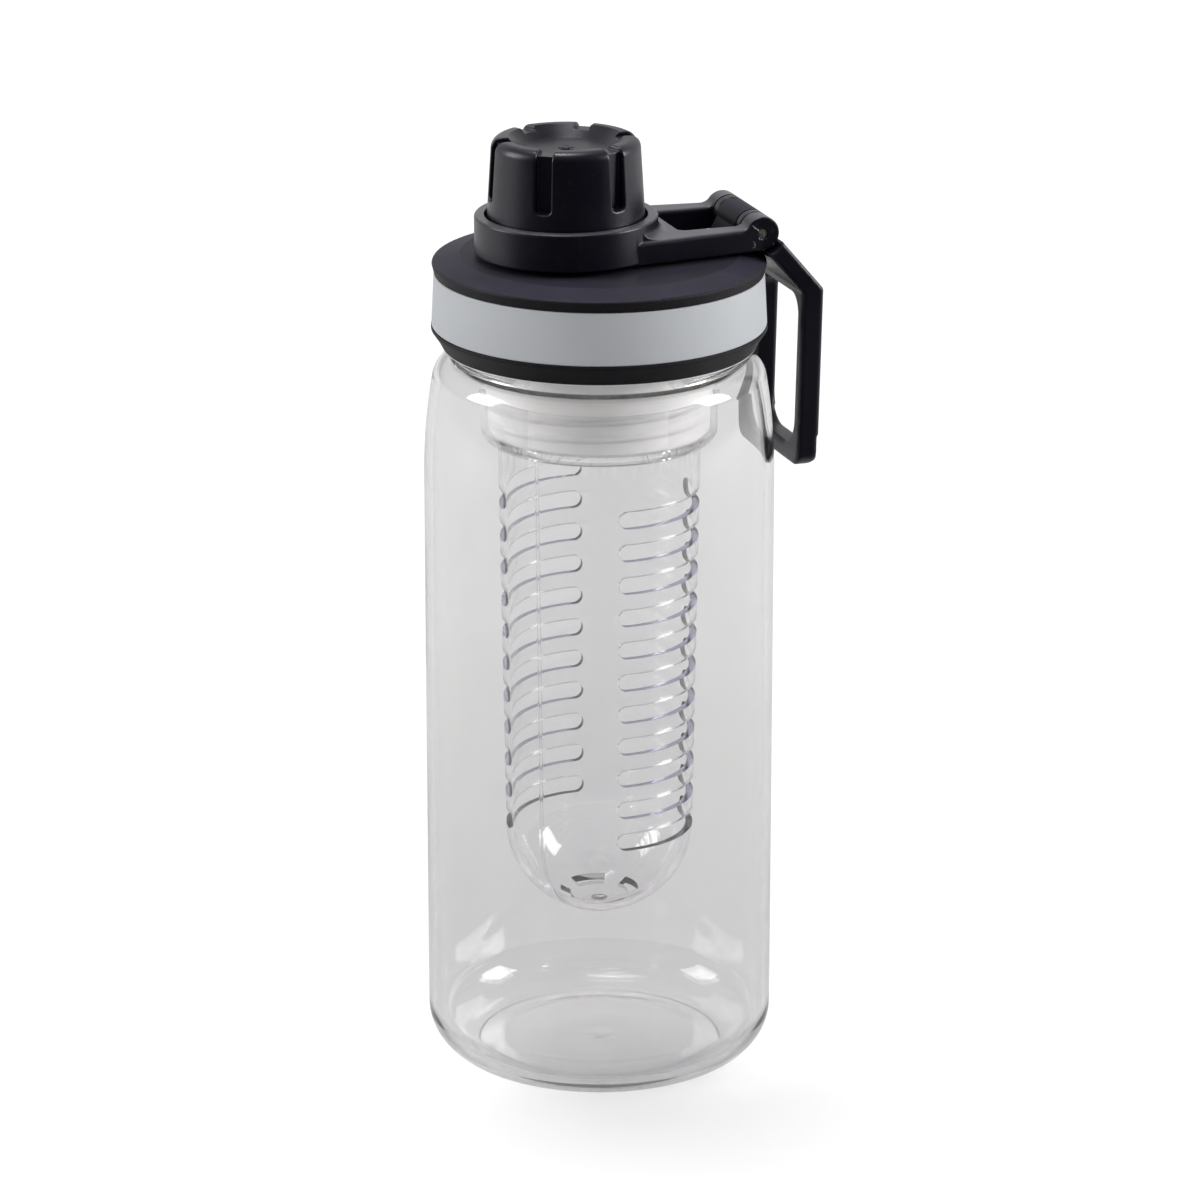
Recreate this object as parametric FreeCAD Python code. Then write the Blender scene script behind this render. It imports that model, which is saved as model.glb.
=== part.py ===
import FreeCAD, Part
import math
import os
from FreeCAD import Vector

# Fruit infuser water bottle. Millimetres, +Z up, +X from the bottle's axis towards the lid hinge,
# origin at the centre of the base.

# Bottle
body_r = 40.0
body_wall = 2.0
floor_t = 2.6
base_corner_r = 11.5
straight_h = 140.0
shoulder_arc_r = 139.0
shoulder_h = 23.5
shoulder_corner_r = 6.0
neck_inset = 7.0
neck_wall = 2.4
neck_h = 17.6
mouth_round = 0.9

# Lid shell, grip band and seal
neck_thread_room = 1.4
lid_wall = 2.05
shoulder_gap = 2.4
lower_rim_h = 4.75
lower_rim_draw_in = 2.5
lower_rim_ridge_h = 1.9
lower_rim_lip_h = 0.7
band_h = 12.2
band_t = 1.55
band_taper = 0.55
rim_proud = 0.1
upper_rim_flare = 0.5
deck_t = 2.2
deck_flat_inset = 6.3
deck_slope_h = 1.5
deck_edge_round = 0.6
gasket_t = 2.0
gasket_overlap = 0.4

# Liner inside the lid, with the skirt that the basket screws on
liner_flange_t = 1.5
pour_gap = 5.4
skirt_wall = 1.6
skirt_drop = 19.2
skirt_thread_room = 0.4

# Infuser basket
collar_wall = 1.4
collar_h = 12.0
collar_floor_t = 2.5
collar_seat_gap = 0.4
collar_corner_r = 3.0
tube_inset = 2.0
tube_draft = 1.5
tube_h = 92.3
basket_wall = 1.6
slot_count = 11
slot_pitch = 7.75
slot_h = 4.0
first_slot_up = -0.5
slot_sweep = 99.0
slot_start = -98.0
drain_count = 4
drain_mid_r = 8.2
drain_w = 2.4
drain_sweep = 56.0

# Spout and its screw cap
spout_x = -7.9
spout_r = 11.2
spout_wall = 1.8
spout_h = 21.2
spout_foot_h = 1.0
spout_foot_out = 1.4
spout_lip_round = 0.7
cap_swing_room = 3.0
cap_wall = 3.95
cap_lift = 2.0
cap_flange_h = 2.0
cap_flange_out = 0.85
cap_draft = 1.3
cap_corner_r = 2.4
cap_rim_w = 1.4
cap_ceiling_t = 2.0
dish_depth = 2.6
dish_wall_run = 3.0
cap_seal_t = 1.5
grip_count = 6
grip_w = 3.6
grip_corner_r = 1.2
grip_edge_r = 0.5
grip_depth = 1.5
grip_end_up = 11.4
grip_turn = -6.2
notch_depth = 1.1

# Cap arm
ring_wall = 1.4
ring_gap = 1.4
ring_h = 8.4
ring_lip_h = 1.8
arm_gap = 1.0
arm_t = 5.0
arm_root_half_w = 18.9
window_margin = 3.4
window_corner_r = 1.6
arm_edge_r = 0.9
ring_edge_r = 0.6
ring_blend_r = 2.4

# Hinge: lid lug in the middle, a loop ear each side of it, an arm prong outside each ear
pin_r = 1.25
pin_rise = 4.7
pin_inset = 3.5
pin_end_recess = 0.4
knuckle_r = 3.9
knuckle_edge_r = 0.4
prong_root_r = 3.0
lug_half_w = 5.7
ear_w = 2.6
prong_w = 4.8
lug_back = 7.5
lug_sink = 1.5
lug_tangent = 120.0

# Carry loop
plate_fall = 49.5
plate_out = 2.0
plate_t = 4.4
leg_offset = 8.95
leg_t = 5.2
leg_w = 3.2
leg_draw_in = 1.0
loop_side_out = 2.0
loop_reach = 55.2
crossbar_h = 3.9
loop_window_h = 35.7
window_low_r = 7.0
window_high_r = 4.5
loop_corner_r = 3.5
loop_foot_r = 3.0
loop_bend_r = 1.5
loop_edge_r = 0.8
pad_proud = 0.6
pad_end_up = 7.6
hinge_sweep_room = 0.7
lid_relief = 0.6

# Fits
seal_gap = 0.05
slip_gap = 0.3
pin_clearance = 0.05
pin_press_clearance = 0.02
same_point = 1e-6

# Heights and radii that follow from the sizes above
shoulder_turn = math.degrees(math.asin(shoulder_h / shoulder_arc_r))
shoulder_end_r = body_r - shoulder_arc_r * (1 - math.cos(math.radians(shoulder_turn)))
shoulder_end_z = straight_h + shoulder_h
corner_c = (shoulder_end_r - shoulder_corner_r * math.cos(math.radians(shoulder_turn)),
            shoulder_end_z - shoulder_corner_r * math.sin(math.radians(shoulder_turn)))
shoulder_top_z = corner_c[1] + shoulder_corner_r
mouth_z = shoulder_top_z + neck_h
neck_r = body_r - neck_inset
neck_bore_r = neck_r - neck_wall

lid_bottom_z = shoulder_top_z + shoulder_gap
lid_bore_r = neck_r + neck_thread_room
groove_r = lid_bore_r + lid_wall
band_bottom_r = groove_r + band_t
band_top_r = band_bottom_r - band_taper
band_z = lid_bottom_z + lower_rim_h
band_top_z = band_z + band_h
lower_rim_top_r = band_bottom_r + rim_proud
lower_rim_bottom_r = lower_rim_top_r - lower_rim_draw_in
gasket_z = mouth_z + seal_gap
flange_z = gasket_z + gasket_t + seal_gap
deck_under_z = flange_z + liner_flange_t + seal_gap
deck_z = deck_under_z + deck_t
deck_edge_z = deck_z - deck_slope_h
upper_rim_r = band_top_r - rim_proud
deck_edge_r = upper_rim_r + upper_rim_flare

skirt_r = neck_bore_r - pour_gap
skirt_bottom_z = lid_bottom_z - skirt_drop
collar_bore_r = skirt_r + skirt_thread_room
collar_r = collar_bore_r + collar_wall
collar_floor_z = skirt_bottom_z - collar_seat_gap
collar_bottom_z = collar_floor_z - collar_floor_t
tube_top_r = skirt_r - tube_inset
tube_bottom_r = tube_top_r - tube_draft
dome_z = collar_bottom_z - tube_h

spout_bore_r = spout_r - spout_wall
spout_top_z = deck_z + spout_h
cap_seal_z = spout_top_z + seal_gap
cap_under_z = cap_seal_z + cap_seal_t + seal_gap
dish_z = cap_under_z + cap_ceiling_t
cap_top_z = dish_z + dish_depth
cap_bottom_z = deck_z + cap_lift
cap_flange_top_z = cap_bottom_z + cap_flange_h
cap_bore_r = spout_r + cap_swing_room
cap_foot_r = cap_bore_r + cap_wall
cap_top_r = cap_foot_r - cap_draft
cap_flange_r = cap_foot_r + cap_flange_out

ring_z = deck_z + ring_gap
ring_top_z = ring_z + ring_h
ring_bore_r = cap_flange_r + slip_gap
ring_r = ring_bore_r + ring_wall
ring_lip_r = cap_foot_r + slip_gap
arm_z = deck_z + arm_gap
arm_top_z = arm_z + arm_t

pin_x = deck_edge_r - pin_inset
pin_z = deck_z + pin_rise
ear_in = lug_half_w + slip_gap
ear_out = ear_in + ear_w
prong_in = ear_out + slip_gap
prong_out = prong_in + prong_w
loop_half_w = prong_out + loop_side_out
hinge_sweep_r = knuckle_r + hinge_sweep_room

loop_bottom_z = pin_z - loop_reach
loop_window_z = loop_bottom_z + crossbar_h
leg_in_x = pin_x + leg_offset
leg_out_x = leg_in_x + leg_t
reach = 2 * body_r


def side(u, v):
    return Vector(u, 0, v)


def plan(u, v):
    return Vector(u, v, 0)


def front(u, v):
    return Vector(0, u, v)


def on_circle(centre, radius, degrees):
    turn = math.radians(degrees)
    return centre[0] + radius * math.cos(turn), centre[1] + radius * math.sin(turn)


class Outline:
    """A closed outline of lines and arcs on one of the three planes."""

    def __init__(self, plane, u, v):
        self.plane = plane
        self.first = plane(u, v)
        self.here = self.first
        self.edges = []

    def to(self, *points):
        for u, v in points:
            there = self.plane(u, v)
            if self.here.distanceToPoint(there) > same_point:
                self.edges.append(Part.makeLine(self.here, there))
            self.here = there
        return self

    def arc(self, centre, radius, start, end):
        middle = self.plane(*on_circle(centre, radius, (start + end) / 2))
        there = self.plane(*on_circle(centre, radius, end))
        self.edges.append(Part.Arc(self.here, middle, there).toShape())
        self.here = there
        return self

    def face(self):
        if self.here.distanceToPoint(self.first) > same_point:
            self.edges.append(Part.makeLine(self.here, self.first))
        return Part.Face(Part.Wire(self.edges))


def turned(outline, axis_x=0.0):
    return outline.face().revolve(Vector(axis_x, 0, 0), Vector(0, 0, 1), 360)


def prism(outline, low, high):
    """The outline extruded square to its plane, from low to high."""
    face = outline.face()
    square = outline.plane(1, 0).cross(outline.plane(0, 1))
    square = Vector(abs(square.x), abs(square.y), abs(square.z))
    face.translate(square * low)
    return face.extrude(square * (high - low))


def upright(radius, low, high, axis_x=0.0):
    return Part.makeCylinder(radius, high - low, Vector(axis_x, 0, low))


def across(radius, low_y, high_y):
    """A cylinder on the hinge axis."""
    return Part.makeCylinder(radius, high_y - low_y, Vector(pin_x, low_y, pin_z), Vector(0, 1, 0))


def knuckle(low_y, high_y):
    """A hinge barrel with rounded ends."""
    barrel = across(knuckle_r, low_y, high_y)
    return barrel.makeFillet(knuckle_edge_r, [edge for edge in barrel.Edges if edge.isClosed()])


def both_sides(low_y, high_y, make):
    """The same piece in front of the middle plane and behind it."""
    return [make(low_y, high_y), make(-high_y, -low_y)]


def edges_at(shape, *middles):
    """The edges whose middle is at one of the points."""
    return [edge for edge in shape.Edges
            if any(edge.CenterOfMass.distanceToPoint(point) < same_point for point in middles)]


def rounded_rectangle(plane, low, high, low_r, high_r):
    """A rectangle with one corner radius at its low edge and another at its high edge."""
    (u0, v0), (u1, v1) = low, high
    path = Outline(plane, u0 + low_r, v0)
    path.to((u1 - low_r, v0)).arc((u1 - low_r, v0 + low_r), low_r, -90, 0)
    path.to((u1, v1 - high_r)).arc((u1 - high_r, v1 - high_r), high_r, 0, 90)
    path.to((u0 + high_r, v1)).arc((u0 + high_r, v1 - high_r), high_r, 90, 180)
    path.to((u0, v0 + low_r)).arc((u0 + low_r, v0 + low_r), low_r, 180, 270)
    return path


def bottle_body():
    """Clear bottle: round base corner, slow shoulder taper, tight shoulder corner, plain neck."""
    shoulder_c = (body_r - shoulder_arc_r, straight_h)
    root_turn = math.degrees(math.acos((neck_r - corner_c[0]) / shoulder_corner_r))
    inner_r = body_r - body_wall
    inner_corner = base_corner_r - body_wall
    inner_shoulder_r = shoulder_corner_r - body_wall
    inner_base_c = (inner_r - inner_corner, floor_t + inner_corner)
    path = Outline(side, 0, 0).to((body_r - base_corner_r, 0))
    path.arc((body_r - base_corner_r, base_corner_r), base_corner_r, -90, 0).to((body_r, straight_h))
    path.arc(shoulder_c, shoulder_arc_r, 0, shoulder_turn)
    path.arc(corner_c, shoulder_corner_r, shoulder_turn, root_turn)
    path.to((neck_r, mouth_z - mouth_round))
    path.arc((neck_r - mouth_round, mouth_z - mouth_round), mouth_round, 0, 90)
    path.to((neck_bore_r, mouth_z), (neck_bore_r, corner_c[1] + inner_shoulder_r))
    path.to((corner_c[0], corner_c[1] + inner_shoulder_r))
    path.arc(corner_c, inner_shoulder_r, 90, shoulder_turn)
    path.arc(shoulder_c, shoulder_arc_r - body_wall, shoulder_turn, 0)
    path.to((inner_r, inner_base_c[1])).arc(inner_base_c, inner_corner, 0, -90)
    path.to((0, floor_t))
    return turned(path)


def lid_shell():
    """Lid with a grooved wall for the grip band, a gently dropped deck edge, the spout and the hinge lug."""
    ridge_r = lower_rim_bottom_r + lower_rim_draw_in * lower_rim_ridge_h / lower_rim_h
    edge_c = (deck_edge_r - deck_edge_round, deck_edge_z - deck_edge_round)
    wall = Outline(side, lid_bore_r, lid_bottom_z)
    wall.to((lower_rim_bottom_r, lid_bottom_z), (ridge_r, lid_bottom_z + lower_rim_ridge_h))
    wall.to((lower_rim_top_r, band_z - lower_rim_lip_h), (lower_rim_top_r, band_z), (groove_r, band_z))
    wall.to((groove_r, band_top_z), (upper_rim_r, band_top_z), (deck_edge_r, edge_c[1]))
    wall.arc(edge_c, deck_edge_round, 0, 90).to((deck_edge_r - deck_flat_inset, deck_z))
    wall.to((0, deck_z), (0, deck_under_z), (lid_bore_r, deck_under_z))

    lip_c = (spout_x + spout_r - spout_lip_round, spout_top_z - spout_lip_round)
    spout = Outline(side, spout_x, deck_under_z).to((spout_x + spout_r + spout_foot_out, deck_under_z))
    spout.to((spout_x + spout_r + spout_foot_out, deck_z + spout_foot_h))
    spout.to((spout_x + spout_r, deck_z + spout_foot_h), (spout_x + spout_r, lip_c[1]))
    spout.arc(lip_c, spout_lip_round, 0, 90).to((spout_x, spout_top_z))

    web = Outline(side, pin_x - lug_back, deck_z - lug_sink).to((pin_x, deck_z - lug_sink))
    web.to((pin_x, pin_z), on_circle((pin_x, pin_z), knuckle_r, lug_tangent))
    lug = prism(web, -lug_half_w, lug_half_w).fuse(across(knuckle_r, -lug_half_w, lug_half_w))

    shell = turned(wall).fuse([turned(spout, spout_x), lug])
    bore = upright(spout_bore_r, flange_z, cap_under_z, spout_x)
    pin_hole = across(pin_r + pin_press_clearance, -prong_out, prong_out)
    return shell.cut([bore, pin_hole]).removeSplitter()


def lid_band():
    """Soft grip band in the lid's groove, a little wider at its lower edge."""
    path = Outline(side, groove_r + seal_gap, band_z + seal_gap).to((band_bottom_r, band_z + seal_gap))
    path.to((band_top_r, band_top_z - seal_gap), (groove_r + seal_gap, band_top_z - seal_gap))
    return turned(path)


def lid_liner():
    """Pale liner under the deck: a disc, a hole under the spout and the skirt that carries the basket."""
    flange_r = lid_bore_r - slip_gap
    path = Outline(side, 0, flange_z + liner_flange_t).to((0, flange_z), (skirt_r - skirt_wall, flange_z))
    path.to((skirt_r - skirt_wall, skirt_bottom_z), (skirt_r, skirt_bottom_z), (skirt_r, flange_z))
    path.to((flange_r, flange_z), (flange_r, flange_z + liner_flange_t))
    hole = upright(spout_bore_r, gasket_z, deck_under_z, spout_x)
    return turned(path).cut(hole)


def lid_gasket():
    """Flat seal between the liner's disc and the bottle's mouth."""
    path = Outline(side, neck_bore_r - gasket_overlap, gasket_z)
    path.to((neck_r + gasket_overlap, gasket_z), (neck_r + gasket_overlap, gasket_z + gasket_t))
    path.to((neck_bore_r - gasket_overlap, gasket_z + gasket_t))
    return turned(path)


def sector(inner_r, outer_r, low, high, start, sweep):
    """Part of an upright ring, from an angle through a sweep."""
    whole = Part.makeCylinder(outer_r, high - low, Vector(0, 0, low), Vector(0, 0, 1), sweep)
    whole.rotate(Vector(0, 0, 0), Vector(0, 0, 1), start)
    return whole.cut(upright(inner_r, low, high))


def slot_cutters():
    """Round-ended bands for the two columns of slots in the basket's wall."""
    inner_r = tube_bottom_r / 2
    end_r = slot_h / 2
    end_turn = math.degrees(end_r / tube_bottom_r)
    cutters = []
    for column in range(2):
        start = slot_start + 180 * column + end_turn
        sweep = slot_sweep - 2 * end_turn
        for index in range(slot_count):
            low = dome_z + first_slot_up + slot_pitch * index
            cutters.append(sector(inner_r, body_r, low, low + slot_h, start, sweep))
            for turn in (start, start + sweep):
                x, y = on_circle((0, 0), 1, turn)
                foot = Vector(inner_r * x, inner_r * y, low + end_r)
                cutters.append(Part.makeCylinder(end_r, body_r, foot, Vector(x, y, 0)))
    return cutters


def drain_cutters():
    """Curved drain slots round the lowest point of the dome."""
    inner_r = drain_mid_r - drain_w / 2
    starts = [360 / drain_count * index - drain_sweep / 2 for index in range(drain_count)]
    return [sector(inner_r, inner_r + drain_w, 0, dome_z - tube_bottom_r / 2, start, drain_sweep)
            for start in starts]


def infuser_basket():
    """Clear basket: screw collar, slightly tapered tube with slots, round bottom with drains."""
    corner = (collar_r - collar_corner_r, collar_bottom_z + collar_corner_r)
    path = Outline(side, 0, dome_z - tube_bottom_r).arc((0, dome_z), tube_bottom_r, -90, 0)
    path.to((tube_top_r, collar_bottom_z), (corner[0], collar_bottom_z)).arc(corner, collar_corner_r, -90, 0)
    path.to((collar_r, collar_bottom_z + collar_h), (collar_bore_r, collar_bottom_z + collar_h))
    path.to((collar_bore_r, collar_floor_z), (tube_top_r - basket_wall, collar_floor_z))
    path.to((tube_bottom_r - basket_wall, dome_z)).arc((0, dome_z), tube_bottom_r - basket_wall, 0, -90)
    return turned(path).cut(slot_cutters() + drain_cutters())


def spout_cap():
    """Screw cap: drafted knob with a dished top, a castellated rim and upright grip slots."""
    corner = (cap_top_r - cap_corner_r, cap_top_z - cap_corner_r)
    rim_in_r = corner[0] - cap_rim_w
    path = Outline(side, spout_x, cap_under_z).to((spout_x + cap_bore_r, cap_under_z))
    path.to((spout_x + cap_bore_r, cap_bottom_z), (spout_x + cap_flange_r, cap_bottom_z))
    path.to((spout_x + cap_flange_r, cap_flange_top_z), (spout_x + cap_foot_r, cap_flange_top_z))
    path.to((spout_x + cap_top_r, corner[1])).arc((spout_x + corner[0], corner[1]), cap_corner_r, 0, 90)
    path.to((spout_x + rim_in_r, cap_top_z), (spout_x + rim_in_r - dish_wall_run, dish_z), (spout_x, dish_z))
    knob = turned(path, spout_x)

    half_w = grip_w / 2
    end_z = cap_bottom_z + grip_end_up
    groove = rounded_rectangle(front, (-half_w, end_z), (half_w, cap_top_z + grip_corner_r),
                               grip_corner_r, grip_corner_r)
    notch_low = Vector(rim_in_r - dish_wall_run, -half_w, cap_top_z - notch_depth)
    notch = Part.makeBox(cap_flange_r - notch_low.x, grip_w, notch_depth, notch_low)
    cutter = prism(groove, cap_top_r - grip_depth, cap_flange_r).fuse(notch)
    cutter.translate(Vector(spout_x, 0, 0))
    cutters = []
    for index in range(grip_count):
        slot = cutter.copy()
        slot.rotate(Vector(spout_x, 0, 0), Vector(0, 0, 1), grip_turn + 360 / grip_count * index)
        cutters.append(slot)
    knob = knob.cut(cutters).removeSplitter()
    lips = [edge for edge in knob.Edges
            if cap_flange_top_z + same_point < edge.BoundBox.ZMin < corner[1] - same_point
            and all(math.hypot(end.X - spout_x, end.Y) > cap_top_r - same_point for end in edge.Vertexes)]
    return knob.makeFillet(grip_edge_r, lips)


def cap_seal():
    """Soft disc in the cap's ceiling that closes the spout."""
    return upright(cap_bore_r - slip_gap, cap_seal_z, cap_seal_z + cap_seal_t, spout_x)


def arm_window():
    """The opening between the arm's fork, which the lid's lug and the loop's ears stand in."""
    start = spout_x + ring_r + window_margin
    opening = rounded_rectangle(plan, (start, -prong_in), (start + body_r, prong_in),
                                window_corner_r, window_corner_r)
    return prism(opening, deck_z, cap_top_z)


def arm_outline(inset):
    """The arm's tapering plan shape, from the spout's axis to the hinge, drawn in by an inset each side."""
    shape = Outline(plan, spout_x, inset - arm_root_half_w).to((pin_x, inset - prong_out))
    return shape.to((pin_x, prong_out - inset), (spout_x, arm_root_half_w - inset))


def ring_blend():
    """The hollow sweep where the ring's wall runs out into the top of the arm."""
    wall_r = ring_r - ring_edge_r
    corner = (spout_x + ring_r + ring_blend_r, arm_top_z + ring_blend_r)
    sweep = Outline(side, spout_x + wall_r, arm_z).to((corner[0], arm_z), (corner[0], arm_top_z))
    sweep.arc(corner, ring_blend_r, 270, 180).to((spout_x + wall_r, corner[1]))
    return turned(sweep, spout_x).common(prism(arm_outline(arm_edge_r), arm_z, ring_top_z))


def arm_plate():
    """The arm's tapering plate, which sweeps up into the hinge barrel and has rounded upper edges."""
    rise = arm_top_z + prong_root_r - pin_z
    root_c = (pin_x - math.sqrt((knuckle_r + prong_root_r) ** 2 - rise ** 2), arm_top_z + prong_root_r)
    meet = math.degrees(math.atan2(pin_z - root_c[1], pin_x - root_c[0]))
    profile = Outline(side, spout_x, arm_top_z).to((root_c[0], arm_top_z))
    profile.arc(root_c, prong_root_r, -90, meet).to((pin_x, pin_z), (pin_x, arm_z), (spout_x, arm_z))
    shape = prism(arm_outline(0), arm_z, pin_z + knuckle_r)
    plate = prism(profile, -arm_root_half_w, arm_root_half_w).common(shape).cut(arm_window())
    upper = [edge for edge in plate.Edges
             if edge.BoundBox.ZMin > arm_top_z - same_point and edge.BoundBox.XLength > knuckle_r]
    return plate.makeFillet(arm_edge_r, upper)


def cap_arm():
    """Arm that carries the cap: a lipped ring, a tapering fork and two hinge prongs."""
    edge_c = (spout_x + ring_r - ring_edge_r, ring_top_z - ring_edge_r)
    ring = Outline(side, spout_x, ring_z).to((spout_x + ring_r, ring_z), (spout_x + ring_r, edge_c[1]))
    ring.arc(edge_c, ring_edge_r, 0, 90).to((spout_x, ring_top_z))
    arm = turned(ring, spout_x).fuse([arm_plate(), ring_blend(), knuckle(-prong_out, prong_out)])

    lip_z = ring_top_z - ring_lip_h
    bore = Outline(side, spout_x, deck_z).to((spout_x + ring_bore_r, deck_z), (spout_x + ring_bore_r, lip_z))
    bore.to((spout_x + ring_lip_r, lip_z), (spout_x + ring_lip_r, cap_top_z), (spout_x, cap_top_z))
    pin_hole = across(pin_r + pin_clearance, -prong_out, prong_out)
    return arm.cut([turned(bore, spout_x), arm_window(), pin_hole]).removeSplitter()


def hinge_pin():
    """Steel pin through lug, ears and prongs."""
    return across(pin_r, -prong_out + pin_end_recess, prong_out - pin_end_recess)


def carry_loop():
    """Dog-leg finger loop: two ears, a sloping plate, two legs with a raised pad and a crossbar."""
    fall = math.radians(plate_fall)
    along = (math.cos(fall), -math.sin(fall))
    out = (math.sin(fall), math.cos(fall))
    plate_in = plate_out - plate_t

    def plate_point(distance_out, x):
        run = (x - pin_x - distance_out * out[0]) / along[0]
        return x, pin_z + distance_out * out[1] + run * along[1]

    bend = plate_point(plate_out, leg_out_x)
    lean = leg_draw_in / (bend[1] - loop_bottom_z)
    pad_end_z = loop_bottom_z + pad_end_up
    pad_end_x = leg_out_x - lean * (bend[1] - pad_end_z)
    foot = (leg_out_x - leg_draw_in, loop_bottom_z)
    profile = Outline(side, *bend).to(foot, (leg_in_x - leg_draw_in, loop_bottom_z))
    profile.to(plate_point(plate_in, leg_in_x))
    profile.to((pin_x + plate_in * out[0], pin_z + plate_in * out[1]))
    profile.to((pin_x + plate_out * out[0], pin_z + plate_out * out[1]))
    blank = prism(profile, -loop_half_w, loop_half_w)
    blank = blank.makeFillet(loop_foot_r, edges_at(blank, side(*foot)))
    blank = blank.makeFillet(loop_bend_r, edges_at(blank, side(*bend)))
    frame = rounded_rectangle(front, (-loop_half_w, loop_bottom_z), (loop_half_w, cap_top_z),
                              loop_corner_r, loop_corner_r)
    blank = blank.common(prism(frame, 0, reach))

    half = loop_half_w - leg_w
    window = rounded_rectangle(front, (-half, loop_window_z), (half, loop_window_z + loop_window_h),
                               window_low_r, window_high_r)
    blank = blank.cut(prism(window, 0, reach)).removeSplitter()
    lengthwise = [edge for edge in blank.Edges
                  if edge.BoundBox.ZMin < pin_z - hinge_sweep_r and edge.BoundBox.ZLength > same_point]
    blank = blank.makeFillet(loop_edge_r, lengthwise)
    recess = Outline(side, pad_end_x, pad_end_z).to((pad_end_x - pad_proud, pad_end_z - pad_proud))
    recess.to((foot[0] - pad_proud, loop_bottom_z), (foot[0] + pad_proud, loop_bottom_z))
    recess.to((pad_end_x + pad_proud, pad_end_z))
    blank = blank.cut(prism(recess, -loop_half_w, loop_half_w))
    relief = Outline(side, 0, loop_bottom_z).to((deck_edge_r + lid_relief, loop_bottom_z))
    relief.to((deck_edge_r + lid_relief, deck_edge_z), (deck_edge_r - deck_flat_inset, deck_z + lid_relief))
    relief.to((0, deck_z + lid_relief))
    cutters = [turned(relief), across(hinge_sweep_r, -ear_in, ear_in)]
    cutters += both_sides(ear_out, loop_half_w, lambda low, high: across(hinge_sweep_r, low, high))
    loop = blank.fuse(both_sides(ear_in, ear_out, knuckle)).cut(cutters)
    return loop.cut(across(pin_r + pin_clearance, -ear_out, ear_out)).removeSplitter()


pieces = [bottle_body, lid_shell, lid_band, lid_liner, lid_gasket, infuser_basket,
          spout_cap, cap_seal, cap_arm, hinge_pin, carry_loop]

os.makedirs("parts", exist_ok=True)
for make in pieces:
    shape = make()
    name = make.__name__
    shape.exportStep(f"parts/{name}.step")
    box = shape.BoundBox
    print(f"{name}: {len(shape.Solids)} solid, valid {shape.isValid()}, {shape.Volume / 1000:.2f} cm3, "
          f"z {box.ZMin:.2f} to {box.ZMax:.2f}, x {box.XMin:.2f} to {box.XMax:.2f}")
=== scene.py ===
import math
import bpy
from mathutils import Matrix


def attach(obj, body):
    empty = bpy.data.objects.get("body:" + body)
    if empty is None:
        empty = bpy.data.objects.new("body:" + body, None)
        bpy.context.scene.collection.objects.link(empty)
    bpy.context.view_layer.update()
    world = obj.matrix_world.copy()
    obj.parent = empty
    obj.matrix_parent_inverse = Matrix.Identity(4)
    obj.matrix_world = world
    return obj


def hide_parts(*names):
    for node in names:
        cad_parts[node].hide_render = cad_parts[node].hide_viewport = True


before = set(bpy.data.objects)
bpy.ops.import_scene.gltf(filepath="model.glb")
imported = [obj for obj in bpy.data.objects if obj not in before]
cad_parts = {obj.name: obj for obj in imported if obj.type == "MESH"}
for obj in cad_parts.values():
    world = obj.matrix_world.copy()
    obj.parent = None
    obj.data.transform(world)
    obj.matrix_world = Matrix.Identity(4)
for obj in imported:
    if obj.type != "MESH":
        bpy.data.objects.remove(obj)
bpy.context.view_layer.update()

from types import SimpleNamespace

import bmesh
import bpy
from mathutils import Vector

mm = 0.001
scene = bpy.context.scene


# node helper: settings by keyword, sockets by name or number, a socket as value becomes a link
def put(tree, kind, sockets=None, **settings):
    node = tree.nodes.new(kind)
    for key, value in settings.items():
        setattr(node, key, value)
    for key, value in (sockets or {}).items():
        if isinstance(value, bpy.types.NodeSocket):
            tree.links.new(value, node.inputs[key])
        else:
            node.inputs[key].default_value = value
    return node


def maths(tree, operation, first, second=0.0, clamp=False):
    return put(tree, "ShaderNodeMath", {0: first, 1: second}, operation=operation, use_clamp=clamp).outputs[0]


def times(tree, first, second, clamp=False):
    return maths(tree, "MULTIPLY", first, second, clamp)


def dot(tree, first, second):
    return put(tree, "ShaderNodeVectorMath", {0: first, 1: second}, operation="DOT_PRODUCT").outputs["Value"]


def mixValue(tree, share, first, second):
    return put(tree, "ShaderNodeMix", {0: share, 2: first, 3: second}, data_type="FLOAT").outputs[0]


def mixColour(tree, share, first, second):
    return put(tree, "ShaderNodeMix", {0: share, 6: first, 7: second}, data_type="RGBA").outputs[2]


def tinted(tree, colour, mask, share, tint):  # a tint over the colour where the mask says
    return mixColour(tree, times(tree, mask, share), colour, tint)


def ramp(tree, value, low, high, toLow=0.0, toHigh=1.0, ease="LINEAR"):
    return put(tree, "ShaderNodeMapRange", {"Value": value, "From Min": low, "From Max": high, "To Min": toLow,
                                            "To Max": toHigh}, interpolation_type=ease).outputs["Result"]


def noise(tree, coords, scale, detail=2.0, rough=0.5):
    return put(tree, "ShaderNodeTexNoise", {"Vector": coords, "Scale": scale, "Detail": detail,
                                            "Roughness": rough}).outputs["Fac"]


def objectCoords(tree):
    return put(tree, "ShaderNodeTexCoord").outputs["Object"]


# shader group: inputs with their values, and the names of outputs; a tuple and Normal are vectors
def newGroup(name, ins, outs):
    tree = bpy.data.node_groups.new(name, "ShaderNodeTree")
    for label, value in ins.items():
        kind = "NodeSocketVector" if isinstance(value, tuple) else "NodeSocketFloat"
        tree.interface.new_socket(label, in_out="INPUT", socket_type=kind).default_value = value
    for label in outs:
        kind = "NodeSocketVector" if label == "Normal" else "NodeSocketFloat"
        tree.interface.new_socket(label, in_out="OUTPUT", socket_type=kind)
    return tree, put(tree, "NodeGroupInput").outputs


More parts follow.
